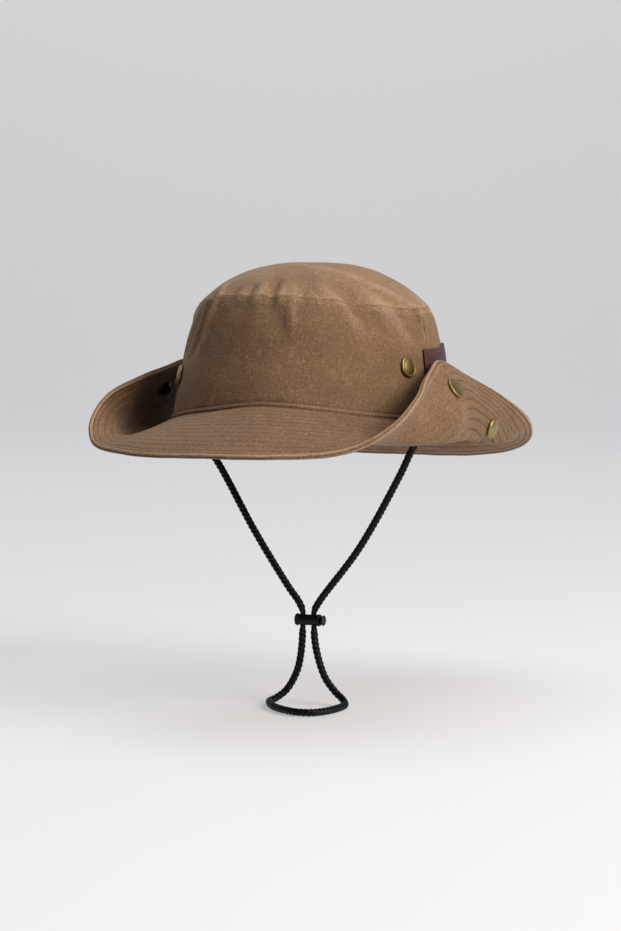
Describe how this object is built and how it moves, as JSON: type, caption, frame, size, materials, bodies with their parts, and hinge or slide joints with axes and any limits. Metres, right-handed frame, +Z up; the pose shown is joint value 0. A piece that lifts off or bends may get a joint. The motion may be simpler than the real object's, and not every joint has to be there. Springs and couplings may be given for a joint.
{
  "type": "safari hat",
  "caption": "Waxed cotton safari hat with a domed crown, a stitched two-ply brim turned up at both sides, brass snaps, a blank leather patch and a cord chin strap with a spring toggle.",
  "frame": {"origin": "middle of the head opening, level with the mean height of the seam between crown and brim, where the hat sits on a head", "axes": "+Z up through the crown, -Y towards the front of the hat, +X to the wearer's left"},
  "size_m": [0.234, 0.338, 0.2852],
  "materials": {
    "waxed_cotton": "waxed woven cotton, brown, matt with a dull wax sheen, with rows of tonal stitching on the brim",
    "patch_leather": "dark brown smooth leather, blank, with a stitched edge",
    "brass": "aged brass, satin",
    "braided_cord": "black round braided cord",
    "toggle_plastic": "black moulded plastic"
  },
  "bodies": {
    "hat": {"crown_top": "waxed_cotton", "crown_wall": "waxed_cotton", "brim_upper": "waxed_cotton", "brim_under": "waxed_cotton", "leather_patch": "patch_leather", "crown_snap_left": "brass", "flap_snap_left": "brass", "flap_socket_left": "brass", "rear_snap_left": "brass", "crown_snap_right": "brass", "flap_snap_right": "brass", "flap_socket_right": "brass", "rear_snap_right": "brass", "cord_tab_left": "waxed_cotton", "cord_tab_right": "waxed_cotton", "cord": "braided_cord", "toggle_barrel": "toggle_plastic"},
    "button": {"toggle_button": "toggle_plastic"}
  },
  "joints": [
    {"name": "button_press", "type": "slide", "parent": "hat", "child": "button", "axis": [-1, 0, 0], "range_m": [0, 0.0015], "stiffness_N_per_m": 400, "springref_m": -0.003}
  ]
}
